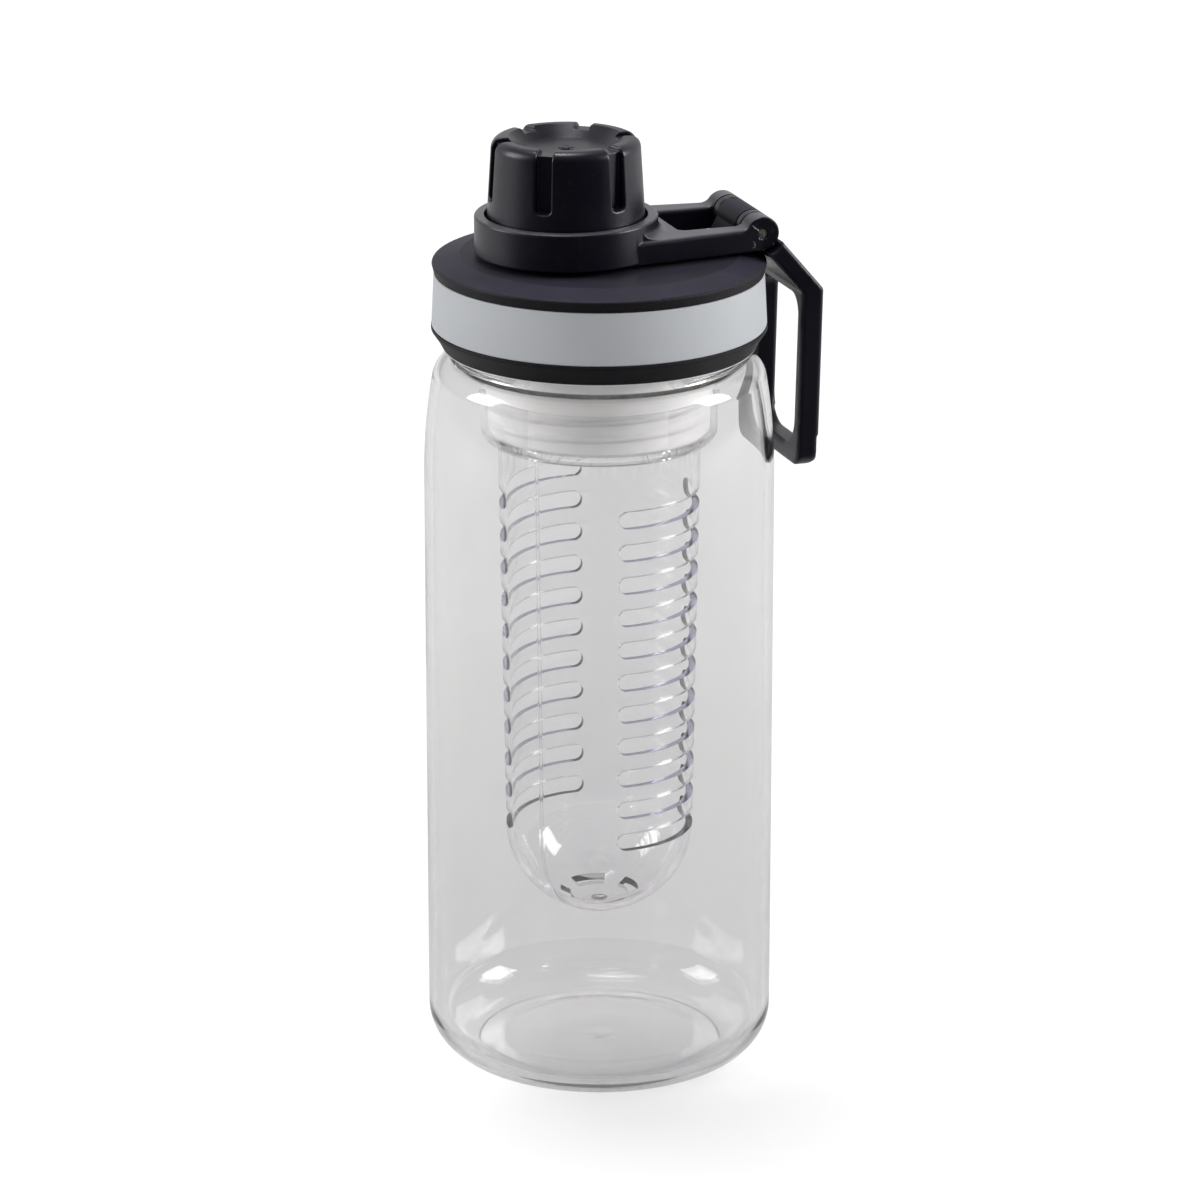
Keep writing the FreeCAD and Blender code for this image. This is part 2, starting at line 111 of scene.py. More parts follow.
# spark-eroded mould skin: fine grain for the bump, broad flow marks for tone and gloss, pale specks
def makeMouldSkin():
    tree, ins = newGroup("mouldSkin", {"Grain Scale": 2600.0, "Flow Scale": 45.0}, ["Height", "Flow", "Speck"])
    coords = objectCoords(tree)
    grain = noise(tree, coords, ins["Grain Scale"], 3.0, 0.6)
    flow = noise(tree, coords, ins["Flow Scale"], 4.0, 0.55)
    specks = noise(tree, coords, times(tree, ins["Grain Scale"], 0.4), 1.0)
    put(tree, "NodeGroupOutput", {"Height": grain, "Flow": flow, "Speck": ramp(tree, specks, 0.66, 0.74)})
    return tree


# moulded edges: a rounded normal for the shading, and a rub mask where it leaves the true one
def makeEdgeRub():
    tree, ins = newGroup("edgeRub", {"Reach": 0.0005, "Breakup": 260.0}, ["Mask", "Normal"])
    rounded = put(tree, "ShaderNodeBevel", {"Radius": ins["Reach"]}, samples=6).outputs["Normal"]
    true = put(tree, "ShaderNodeNewGeometry").outputs["Normal"]
    edge = ramp(tree, dot(tree, rounded, true), 0.985, 0.80)
    broken = ramp(tree, noise(tree, objectCoords(tree), ins["Breakup"], 3.0, 0.6), 0.36, 0.62)
    put(tree, "NodeGroupOutput", {"Mask": times(tree, edge, broken, True), "Normal": rounded})
    return tree


# pale rubs and scratches round one point, fading with distance from it
def makeScuffs():
    tree, ins = newGroup("scuffs", {"Centre": (0.0, 0.0, 0.0), "Reach": 0.01}, ["Mask"])
    coords = objectCoords(tree)
    away = put(tree, "ShaderNodeVectorMath", {0: coords, 1: ins["Centre"]}, operation="DISTANCE").outputs["Value"]
    near = ramp(tree, maths(tree, "DIVIDE", away, ins["Reach"]), 1.0, 0.25)
    stretched = put(tree, "ShaderNodeMapping", {"Vector": coords, "Rotation": (0.3, 0.5, 0.7),
                                                "Scale": (1.0, 6.0, 1.0)}).outputs[0]
    scratch = ramp(tree, noise(tree, stretched, 520.0, 3.0, 0.65), 0.66, 0.71)
    rub = ramp(tree, noise(tree, coords, 480.0, 4.0, 0.7), 0.66, 0.76)
    put(tree, "NodeGroupOutput", {"Mask": times(tree, near, maths(tree, "MAXIMUM", scratch, rub), True)})
    return tree


# painted sheen: faces that look up are made paler in patches, as overhead light would catch them, and less so on
# level tops
def makePaintedTopSheen():
    tree, ins = newGroup("paintedTopSheen", {"Patch Scale": 140.0, "Level Fade": 0.0}, ["Mask"])
    where = put(tree, "ShaderNodeTexCoord").outputs
    up = put(tree, "ShaderNodeSeparateXYZ", {0: where["Normal"]}).outputs["Z"]
    facing = ramp(tree, up, 0.55, 0.95, ease="SMOOTHSTEP")
    level = ramp(tree, up, 0.972, 0.995, 1.0, maths(tree, "SUBTRACT", 1.0, ins["Level Fade"]))
    patchy = ramp(tree, noise(tree, where["Object"], ins["Patch Scale"], 4.0, 0.6), 0.25, 0.75, 0.55, 1.0)
    put(tree, "NodeGroupOutput", {"Mask": times(tree, times(tree, facing, level), patchy, True)})
    return tree


# handling marks on clear plastic: hazy patches, hairlines round the bottle, a slight wave,
# and the mould's parting line down one side
def makeHandling():
    tree, ins = newGroup("handling", {"Patch Scale": 26.0, "Parting Normal": (1.0, 0.0, 0.0),
                                      "Parting Side": (0.0, 1.0, 0.0)}, ["Haze", "Hairline", "Wave", "Parting"])
    coords = objectCoords(tree)
    haze = ramp(tree, noise(tree, coords, ins["Patch Scale"], 5.0, 0.6), 0.54, 0.78)
    flat = put(tree, "ShaderNodeMapping", {"Vector": coords, "Rotation": (0.06, 0.04, 0.0),
                                           "Scale": (1.0, 1.0, 30.0)}).outputs[0]
    hairline = ramp(tree, noise(tree, flat, 70.0, 4.0, 0.7), 0.70, 0.74)
    wave = noise(tree, coords, 38.0, 1.0, 0.4)
    line = ramp(tree, maths(tree, "ABSOLUTE", dot(tree, coords, ins["Parting Normal"])), 0.00026, 0.00006)
    oneSide = maths(tree, "GREATER_THAN", dot(tree, coords, ins["Parting Side"]), 0.0)
    put(tree, "NodeGroupOutput", {"Haze": haze, "Hairline": hairline, "Wave": wave,
                                  "Parting": times(tree, line, oneSide)})
    return tree


mouldSkin = makeMouldSkin()
edgeRub = makeEdgeRub()
scuffs = makeScuffs()
paintedTopSheen = makePaintedTopSheen()
handling = makeHandling()


def newMaterial(name):
    material = bpy.data.materials.new(name)
    material.use_nodes = True
    material.node_tree.nodes.clear()
    return material, material.node_tree


def group(tree, source, sockets):
    return put(tree, "ShaderNodeGroup", sockets, node_tree=source).outputs


def finishWith(tree, shader):
    put(tree, "ShaderNodeOutputMaterial", {"Surface": shader.outputs[0]})


# what every moulded finish starts from: tone and gloss by the flow marks, grain over rounded edges
def moulded(tree, look):
    skin = group(tree, mouldSkin, {"Grain Scale": look["grainScale"], "Flow Scale": look["flowScale"]})
    edge = group(tree, edgeRub, {"Reach": look["edgeReach"]})
    colour = mixColour(tree, skin["Flow"], look["dark"], look["light"])
    gloss = ramp(tree, skin["Flow"], 0.3, 0.7, look["roughLow"], look["roughHigh"])
    bump = put(tree, "ShaderNodeBump", {"Height": skin["Height"], "Strength": look["grainStrength"],
                                        "Distance": look["grainDepth"], "Normal": edge["Normal"]})
    return colour, gloss, bump.outputs[0], edge["Mask"], skin["Speck"]


def blackPlastic(name, look):
    material, tree = newMaterial(name)
    colour, gloss, normal, rubbed, specks = moulded(tree, look)
    scuffed = group(tree, scuffs, {"Centre": look["scuffAt"], "Reach": look["scuffReach"]})["Mask"]
    topSheenMask = group(tree, paintedTopSheen, {"Level Fade": look["levelFade"]})["Mask"]
    # painted sheen on up-facing faces
    colour = tinted(tree, colour, topSheenMask, look["topSheen"], look["topSheenColour"])
    colour = tinted(tree, colour, rubbed, look["rub"], look["rubColour"])
    colour = tinted(tree, colour, scuffed, look["scuff"], look["scuffColour"])
    colour = tinted(tree, colour, specks, look["speck"], look["rubColour"])
    gloss = maths(tree, "ADD", gloss, times(tree, scuffed, look["scuffRough"]))
    finishWith(tree, put(tree, "ShaderNodeBsdfPrincipled",
                         {"Base Color": colour, "Roughness": gloss, "Normal": normal,
                          "Specular IOR Level": look["specular"], "Specular Tint": look["sheen"]}))
    return material


lidFinish = {
    "dark": (0.0100, 0.0087, 0.0104, 1), "light": (0.0135, 0.0117, 0.0140, 1),
    "roughLow": 0.50, "roughHigh": 0.60, "specular": 0.20, "sheen": (0.97, 0.95, 1.0, 1),
    "grainScale": 2300.0, "grainStrength": 0.45, "grainDepth": 0.00006, "flowScale": 40.0,
    "rubColour": (0.085, 0.085, 0.098, 1), "rub": 0.22, "edgeReach": 0.0004, "speck": 0.08,
    # painted sheen on up-facing faces: its colour, its share, and how much less of it level tops get
    "topSheenColour": (0.056, 0.054, 0.106, 1), "topSheen": 0.30, "levelFade": 0.40,
    "scuffColour": (0.42, 0.41, 0.42, 1), "scuff": 0.0, "scuffRough": 0.2,
    "scuffAt": (0.03435, -0.0137, 0.1966), "scuffReach": 0.006,  # the near end of the hinge pin
}
capFinish = dict(lidFinish, dark=(0.0022, 0.0021, 0.0062, 1), light=(0.0036, 0.0034, 0.0094, 1),
                 roughLow=0.27, roughHigh=0.40, specular=0.5, sheen=(0.97, 0.935, 1.0, 1),
                 grainScale=1900.0, grainStrength=0.18, rub=0.30, speck=0.05, scuff=0.9,
                 topSheenColour=(0.100, 0.092, 0.096, 1), topSheen=0.14, levelFade=0.0)
# the arm's top gets a much stronger, bluish painted sheen
armFinish = dict(capFinish, topSheenColour=(0.118, 0.114, 0.132, 1), topSheen=0.72)
loopFinish = dict(capFinish, edgeReach=0.0012, rub=0.4, topSheen=0.1)
blackLid = blackPlastic("blackLidPlastic", lidFinish)
blackCap = blackPlastic("blackCapPlastic", capFinish)
blackArm = blackPlastic("blackArmPlastic", armFinish)
blackLoop = blackPlastic("blackLoopPlastic", loopFinish)


# clear plastic: glass that lets lamps through, with haze, hairlines and a slight wall wave;
# one face attribute marks faces tinted darker as painted shade, for the dark things they would refract; softFace
# marks those that bend less of what is behind them
def clearPlastic(name, look):
    material, tree = newMaterial(name)
    parting = math.radians(look["partingAt"])
    marks = group(tree, handling, {"Patch Scale": look["patchScale"],
                                   "Parting Normal": (-math.sin(parting), math.cos(parting), 0.0),
                                   "Parting Side": (math.cos(parting), math.sin(parting), 0.0)})
    paintedShade = put(tree, "ShaderNodeAttribute", attribute_name="paintedShadeFace").outputs["Fac"]
    soft = put(tree, "ShaderNodeAttribute", attribute_name="softFace").outputs["Fac"]
    colour = mixColour(tree, marks["Haze"], look["tint"], look["hazeTint"])
    # painted shade: marked faces take a darker tint
    colour = mixColour(tree, paintedShade, colour, look["paintedShadeTint"])
    colour = tinted(tree, colour, marks["Parting"], look["partingShade"], look["partingTint"])
    height = maths(tree, "ADD", marks["Wave"], times(tree, marks["Parting"], look["parting"]))
    bump = put(tree, "ShaderNodeBump", {"Height": height, "Strength": look["wave"], "Distance": look["waveDepth"]})
    plastic = put(tree, "ShaderNodeBsdfPrincipled",
                  {"Base Color": colour, "Roughness": times(tree, marks["Hairline"], look["hairline"]),
                   "Normal": bump.outputs[0], "IOR": look["ior"], "Transmission Weight": 1.0})
    clear = put(tree, "ShaderNodeBsdfTransparent", {"Color": look["shadow"]})
    lamps = put(tree, "ShaderNodeLightPath").outputs["Is Shadow Ray"]
    share = maths(tree, "MAXIMUM", lamps, times(tree, soft, look["soften"]))
    finishWith(tree, put(tree, "ShaderNodeMixShader", {0: share, 1: plastic.outputs[0], 2: clear.outputs[0]}))
    return material


bodyFinish = {
    "tint": (0.93, 0.925, 0.925, 1), "hazeTint": (0.905, 0.90, 0.90, 1), "patchScale": 26.0,
    "ior": 1.52, "hairline": 0.06, "wave": 0.10, "waveDepth": 0.0004, "shadow": (0.96, 0.96, 0.96, 1),
    "partingAt": 78.0, "parting": 0.0, "partingShade": 0.0, "partingTint": (0.50, 0.49, 0.54, 1),
    "paintedShadeTint": (0.44, 0.42, 0.56, 1), "soften": 0.55,
}
basketFinish = dict(bodyFinish, tint=(0.975, 0.972, 0.982, 1), hazeTint=(0.96, 0.957, 0.97, 1),
                    patchScale=40.0, wave=0.06, partingAt=213.0, parting=3.0, partingShade=0.6)
clearBody = clearPlastic("clearBodyPlastic", bodyFinish)
clearBasket = clearPlastic("clearBasketPlastic", basketFinish)


# soft-touch grip rubber and the pale inner mouldings share one build
def palePlastic(name, look):
    material, tree = newMaterial(name)
    colour, gloss, normal, rubbed, specks = moulded(tree, look)
    colour = tinted(tree, colour, rubbed, look["rub"], look["rubColour"])
    colour = tinted(tree, colour, specks, look["speck"], look["rubColour"])
    finishWith(tree, put(tree, "ShaderNodeBsdfPrincipled",
                         {"Base Color": colour, "Roughness": gloss, "Normal": normal,
                          "Specular IOR Level": look["specular"], "Subsurface Weight": look["milk"],
                          "Subsurface Radius": look["milkSpread"], "Subsurface Scale": look["milkDepth"]}))
    return material


bandFinish = {
    "dark": (0.44, 0.455, 0.475, 1), "light": (0.515, 0.532, 0.552, 1),
    "roughLow": 0.50, "roughHigh": 0.60, "specular": 0.35,
    "grainScale": 3000.0, "grainStrength": 0.35, "grainDepth": 0.00005, "flowScale": 30.0,
    "rubColour": (0.36, 0.37, 0.385, 1), "rub": 0.5, "edgeReach": 0.0004, "speck": 0.06,
    "milk": 0.0, "milkSpread": (1.0, 0.97, 0.94), "milkDepth": 0.001,
}
linerFinish = dict(bandFinish, dark=(0.93, 0.915, 0.90, 1), light=(0.97, 0.96, 0.945, 1),
                   roughLow=0.30, roughHigh=0.40, specular=0.5, grainStrength=0.12,
                   rubColour=(0.80, 0.78, 0.77, 1), rub=0.10, speck=0.0, milk=0.5, milkDepth=0.004)
sealFinish = dict(bandFinish, dark=(0.66, 0.67, 0.68, 1), light=(0.75, 0.76, 0.765, 1),
                  roughLow=0.45, roughHigh=0.6, grainStrength=0.2, rub=0.2, milk=0.4, milkDepth=0.002)
greyBand = palePlastic("greyBandRubber", bandFinish)
milkyLiner = palePlastic("milkyLinerPlastic", linerFinish)
softSeal = palePlastic("softSealSilicone", sealFinish)


# drawn steel: lines along the pin, brown tarnish in patches
def drawnSteel(name, look):
    material, tree = newMaterial(name)
    coords = objectCoords(tree)
    along = put(tree, "ShaderNodeMapping", {"Vector": coords, "Scale": (1.0, 0.03, 1.0)}).outputs[0]
    lines = noise(tree, along, 6000.0, 3.0, 0.6)
    patches = ramp(tree, noise(tree, coords, 700.0, 4.0, 0.6), 0.38, 0.66)
    colour = mixColour(tree, patches, look["steel"], look["tarnish"])
    gloss = ramp(tree, patches, 0.0, 1.0, look["roughLow"], look["roughHigh"])
    bump = put(tree, "ShaderNodeBump", {"Height": lines, "Strength": 0.35, "Distance": 0.00002})
    finishWith(tree, put(tree, "ShaderNodeBsdfPrincipled", {"Base Color": colour, "Roughness": gloss,
                                                            "Metallic": 1.0, "Normal": bump.outputs[0]}))
    return material


pinFinish = {"steel": (0.80, 0.76, 0.71, 1), "tarnish": (0.34, 0.26, 0.22, 1), "roughLow": 0.42, "roughHigh": 0.58}
steelPin = drawnSteel("drawnSteelPin", pinFinish)
print("finishes:", len(bpy.data.materials), "materials,", len(bpy.data.node_groups), "shared groups")


def newPiece(name, mesh, material, body, replaced=()):
    mesh.name = name
    mesh.materials.clear()
    mesh.materials.append(material)
    piece = bpy.data.objects.new(name, mesh)
    scene.collection.objects.link(piece)
    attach(piece, body)
    if replaced:
        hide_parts(*replaced)
    return piece


def bend(centreR, centreZ, radius, start, end, steps):
    points = []
    for step in range(steps + 1):
        angle = math.radians(start + (end - start) * step / steps)
        points.append((centreR + radius * math.cos(angle), centreZ + radius * math.sin(angle)))
    return points


# turned mesh: the profile in mm runs up the outside and down the inside, so faces look out
def turned(profile, segments, shape=None, closed=False):
    mesh = bpy.data.meshes.new("turned")
    work = bmesh.new()
    rings = []
    for radius, height in profile:
        if radius < 1e-6:  # a pole
            rings.append([work.verts.new((0, 0, height * mm))])
            continue
        ring = []
        for step in range(segments):
            angle = 2 * math.pi * step / segments
            out = radius + (shape(radius, height, angle) if shape else 0.0)
            ring.append(work.verts.new((out * math.cos(angle) * mm, out * math.sin(angle) * mm, height * mm)))
        rings.append(ring)
    pairs = list(zip(rings, rings[1:]))
    if closed:
        pairs.append((rings[-1], rings[0]))
    for low, high in pairs:
        for step in range(segments):
            after = (step + 1) % segments
            if len(low) == 1 and len(high) > 1:
                work.faces.new((low[0], high[after], high[step]))
            elif len(high) == 1 and len(low) > 1:
                work.faces.new((low[step], low[after], high[0]))
            elif len(low) > 1:
                work.faces.new((low[step], low[after], high[after], high[step]))
    work.to_mesh(mesh)
    work.free()
    mesh.shade_smooth()
    return mesh


def moved(mesh, x, z=0.0):
    for vertex in mesh.vertices:
        vertex.co += Vector((x, 0.0, z)) * mm
    return mesh


bottle = {
    "radius": 40.0, "wall": 2.0, "floor": 2.6, "baseCorner": 11.5, "straightTop": 140.0, "segments": 192,
    "sideRings": (50.0, 95.0), "hold": 0.6,  # heights of rings up the side, and the gap of those beside a bend
    "pushUp": 0.55, "pushUpRadius": 28.0, "pushUpEase": 7.0, "gate": 4.5,
    "shoulderRadius": 139.0, "shoulderTurn": 9.734, "topCorner": 6.0, "topCornerAt": (32.085, 162.486),
    "neckRadius": 33.0, "neckFillet": 1.2, "neckFilletZ": 169.6, "neckFrom": 170.0, "neckRings": 44,
    "mouth": 186.086, "lip": 0.9, "boreRadius": 30.6, "boreTo": 168.6, "boreFillet": 1.4, "boreFilletZ": 167.886,
    "threadLead": 4.0, "threadHeight": 0.95, "threadFrom": 171.2, "threadTo": 183.2,
    "threadHalf": 1.35, "threadFlank": 0.75, "threadFade": 1.2,
    "softAbove": 168.2, "heelFrom": 28.6, "heelTo": 5.0, "heelShade": 0.16,
}
bottleSize = SimpleNamespace(**bottle)


# push-up under the base, from the raised gate mark outwards
def baseDish(size):
    dish = []
    for share in (0.0, 0.25, 0.5, 0.75, 1.0):
        dish.append((size.gate * share, size.pushUp * (1.0 + 0.2 * (1 - math.cos(math.pi * share)))))
    for out, up in ((1.6, 1.33), (2.2, 1.12), (3.0, 1.0)):
        dish.append((size.gate * out, size.pushUp * up))
    for share in (0.0, 0.2, 0.4, 0.6, 0.8, 1.0):
        out = size.pushUpRadius - size.pushUpEase + size.pushUpEase * share
        dish.append((out, size.pushUp * 0.5 * (1 + math.cos(math.pi * share))))
    return dish


def bottleProfile(size):
    flat = size.radius - size.baseCorner
    inner = size.radius - size.wall
    innerCorner = size.baseCorner - size.wall
    shoulderR = size.radius - size.shoulderRadius
    cornerR, cornerZ = size.topCornerAt
    lipZ = size.mouth - size.lip
    neckStep = (lipZ - 0.3 - size.neckFrom) / size.neckRings
    sideTop = size.straightTop - size.hold
    dish = baseDish(size)

    points = dish + [(flat - 0.3, 0.0)]
    points += bend(flat, size.baseCorner, size.baseCorner, -90, 0, 26)
    points += [(size.radius, height) for height in (size.baseCorner + size.hold, *size.sideRings, sideTop)]
    points += bend(shoulderR, size.straightTop, size.shoulderRadius, 0, size.shoulderTurn, 16)
    points += bend(cornerR, cornerZ, size.topCorner, size.shoulderTurn, 76, 18)[1:]
    points += bend(size.neckRadius + size.neckFillet, size.neckFilletZ, size.neckFillet, 255, 180, 5)
    points += [(size.neckRadius, size.neckFrom + neckStep * ring) for ring in range(size.neckRings + 1)]
    points += bend(size.neckRadius - size.lip, lipZ, size.lip, 0, 90, 6)

    points += bend(size.boreRadius + size.lip, lipZ, size.lip, 90, 180, 6)
    points += [(size.boreRadius, size.mouth - 1.6), (size.boreRadius, size.boreTo)]
    points += bend(size.boreRadius + size.boreFillet, size.boreFilletZ, size.boreFillet, 180, 270, 6)
    points += bend(cornerR, cornerZ, size.topCorner - size.wall, 88, size.shoulderTurn, 16)
    points += bend(shoulderR, size.straightTop, size.shoulderRadius - size.wall, size.shoulderTurn, 0, 16)[1:]
    sideFoot = size.floor + innerCorner + size.hold
    points += [(inner, height) for height in (sideTop, *reversed(size.sideRings), sideFoot)]
    points += bend(flat, size.floor + innerCorner, innerCorner, 0, -90, 24)
    points += [(flat - 0.3, size.floor)]
    points += [(radius, height + size.floor) for radius, height in reversed(dish)]
    return points


# right-handed thread on the neck, faded in and out at its ends
def neckThread(radius, height, angle, size=bottleSize):
    if abs(radius - size.neckRadius) > 0.01:
        return 0.0
    place = (height - size.threadLead * angle / (2 * math.pi)) / size.threadLead
    away = abs(place - round(place)) * size.threadLead
    turn = height - away
    fadeIn = max(0.0, (turn - size.threadFrom) / size.threadFade)
    fadeOut = max(0.0, (size.threadTo - turn) / size.threadFade)
    ridge = max(0.0, min(1.0, (size.threadHalf - away) / size.threadFlank))
    return size.threadHeight * ridge * ridge * (3 - 2 * ridge) * min(1.0, fadeIn, fadeOut)


def markFaces(mesh, name, share):
    shares = [share(face) for face in mesh.polygons]
    mesh.attributes.new(name, "FLOAT", "FACE").data.foreach_set("value", shares)


def inHeel(face, size=bottleSize):
    return math.hypot(face.center.x, face.center.y) > size.heelFrom * mm


# the neck and the outer heel bend what is behind them less
def softFace(face, size=bottleSize):
    heel = inHeel(face) and face.normal.z < -0.15 and face.center.z < size.heelTo * mm
    return float(heel or face.center.z > size.softAbove * mm)


# painted shade: the inner heel is tinted a little darker, for the dark things its curve would refract
def heelPaintedShade(face, size=bottleSize):
    inside = inHeel(face) and face.normal.z > 0.05 and face.center.z < size.baseCorner * mm
    return size.heelShade if inside else 0.0


bottleMesh = turned(bottleProfile(bottleSize), bottleSize.segments, neckThread)
markFaces(bottleMesh, "softFace", softFace)
# painted shade on the inner heel
markFaces(bottleMesh, "paintedShadeFace", heelPaintedShade)
newPiece("bottleShell", bottleMesh, clearBody, "bottle", ["bottle_body"])
print("bottle:", len(bottleMesh.polygons), "faces")


def held(mesh):
    holder = bpy.data.objects.new("holder", mesh)
    scene.collection.objects.link(holder)
    return holder


# what a holder's modifier makes, as a plain mesh; the holder and its modifier go
def settled(holder):
    mesh = bpy.data.meshes.new_from_object(holder.evaluated_get(bpy.context.evaluated_depsgraph_get()))
    bpy.data.objects.remove(holder)
    return mesh


# copy of a CAD node with its loose triangles merged, and the bmesh to work on it
def welded(node, reach=2e-6):
    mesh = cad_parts[node].data.copy()
    work = bmesh.new()
    work.from_mesh(mesh)
    bmesh.ops.remove_doubles(work, verts=work.verts, dist=reach)
    return mesh, work


# a CAD node's moulding: triangles joined into faces, creases (degrees) kept sharp, normals weighted by area;
# between two broad faces (mm2) a lesser crease stays sharp too
def moulding(node, crease=32.0, broadCrease=11.5, broad=1.0, flat=0.03):
    mesh, work = welded(node)
    bmesh.ops.dissolve_limit(work, angle_limit=math.radians(flat), verts=work.verts, edges=work.edges)
    for edge in work.edges:
        wide = min((face.calc_area() for face in edge.link_faces), default=0.0) > broad * mm * mm
        turn = math.degrees(edge.calc_face_angle(0.0))
        edge.smooth = turn < (broadCrease if wide else crease)
    for face in work.faces:
        face.smooth = True
    work.to_mesh(mesh)
    work.free()
    holder = held(mesh)
    holder.modifiers.new("weights", "WEIGHTED_NORMAL").keep_sharp = True
    return settled(holder)


newPiece("lidShell", moulding("lid_shell"), blackLid, "lid", ["lid_shell"])
newPiece("spoutCap", moulding("spout_cap"), blackCap, "cap", ["spout_cap"])
newPiece("capArm", moulding("cap_arm"), blackArm, "arm", ["cap_arm"])
newPiece("carryLoop", moulding("carry_loop"), blackLoop, "loop", ["carry_loop"])
newPiece("lidLiner", moulding("lid_liner"), milkyLiner, "lid", ["lid_liner"])
print("mouldings: lid, cap, arm, loop and liner")


basket = {
    "tubeRadius": 23.2, "footRadius": 21.7, "domeZ": 56.49, "collarFrom": 148.79, "drainsBelow": 48.0,
    "roundFrom": 0.97, "cutBelow": 0.7,  # how far outwards a face looks: wall of the tube, wall of a slot
    "drainSoft": 1.5,
}


# basket from its CAD node, with true round normals so the clear wall doesn't ripple
def basketMesh(size):
    mesh, work = welded("infuser_basket")
    work.to_mesh(mesh)
    work.free()
    mesh.shade_smooth()
    slope = (size.tubeRadius - size.footRadius) / (size.collarFrom - size.domeZ)
    normals = []
    walls = set()  # faces in the slots and drains
    for face in mesh.polygons:
        for loop in face.loop_indices:
            place = mesh.vertices[mesh.loops[loop].vertex_index].co
            outward = Vector((place.x, place.y, 0.0)).normalized()
            if place.z < size.domeZ * mm:
                outward = Vector((place.x, place.y, place.z - size.domeZ * mm)).normalized()
            elif place.z < size.collarFrom * mm:
                outward = Vector((outward.x, outward.y, -slope)).normalized()
            along = face.normal.dot(outward)
            onWall = abs(along) > size.roundFrom
            normals.append(tuple(outward * math.copysign(1.0, along) if onWall else face.normal))
            if abs(along) < size.cutBelow and place.z < size.collarFrom * mm:
                walls.add(face.index)
    mesh.normals_split_custom_set(normals)
    drains = {index for index in walls if mesh.polygons[index].center.z < size.drainsBelow * mm}
    slots = walls - drains
    clearness = {index: size.drainSoft for index in drains}
    # painted shade on the slot walls
    markFaces(mesh, "paintedShadeFace", lambda face: float(face.index in slots))
    markFaces(mesh, "softFace",
              lambda face: clearness.get(face.index, float(face.center.z > size.collarFrom * mm)))
    return mesh


basketShell = basketMesh(SimpleNamespace(**basket))
newPiece("infuserBasket", basketShell, clearBasket, "infuser", ["infuser_basket"])
print("basket:", len(basketShell.polygons), "faces")


# a ring's or pin's section with rounded corners; inner None makes it solid
def rimmed(inner, lowR, highR, low, high, edge):
    outside = bend(lowR - edge, low + edge, edge, -90, 0, 5) + bend(highR - edge, high - edge, edge, 0, 90, 5)
    if inner is None:
        return [(0.0, low)] + outside + [(0.0, high)]
    foot = bend(inner + edge, low + edge, edge, 180, 270, 5)
    return foot + outside + bend(inner + edge, high - edge, edge, 90, 180, 5)


spoutX = -7.9  # the spout and its cap stand off the bottle's axis
band = {"inner": 36.5, "lowR": 38.0, "highR": 37.45, "low": 175.69, "high": 187.79, "edge": 0.45}
gasket = {"inner": 30.2, "lowR": 33.4, "highR": 33.4, "low": 186.14, "high": 188.14, "edge": 0.35}
disc = {"inner": None, "lowR": 13.9, "highR": 13.9, "low": 213.19, "high": 214.69, "edge": 0.3}
newPiece("gripBand", turned(rimmed(**band), 192, closed=True), greyBand, "lid", ["lid_band"])
newPiece("mouthGasket", turned(rimmed(**gasket), 160, closed=True), softSeal, "lid_seal", ["lid_gasket"])
newPiece("capSealDisc", moved(turned(rimmed(**disc), 96), spoutX), softSeal, "cap_disc", ["cap_seal"])

# the lid's pale threaded insert and its lip
sleeve = {"inner": 34.12, "lowR": 34.36, "highR": 34.36, "low": 170.70, "high": 187.90, "edge": 0.1}
sleeveLip = {"inner": 34.12, "lowR": 35.5, "highR": 35.5, "low": 170.60, "high": 170.90, "edge": 0.1}
newPiece("lidSleeve", turned(rimmed(**sleeve), 192, closed=True), milkyLiner, "lid")
newPiece("lidSleeveLip", turned(rimmed(**sleeveLip), 192, closed=True), milkyLiner, "lid")

pin = {"radius": 1.25, "half": 13.3, "edge": 0.3, "x": 34.35, "z": 196.636}
pinMesh = turned(rimmed(None, pin["radius"], pin["radius"], -pin["half"], pin["half"], pin["edge"]), 40)
for vertex in pinMesh.vertices:  # laid down along the hinge
    x, y, z = vertex.co
    vertex.co = (pin["x"] * mm + x, z, pin["z"] * mm - y)
newPiece("hingePin", pinMesh, steelPin, "lid", ["hinge_pin"])
print("turned pieces: band, gasket, cap seal, lid sleeve with its lip, and pin")


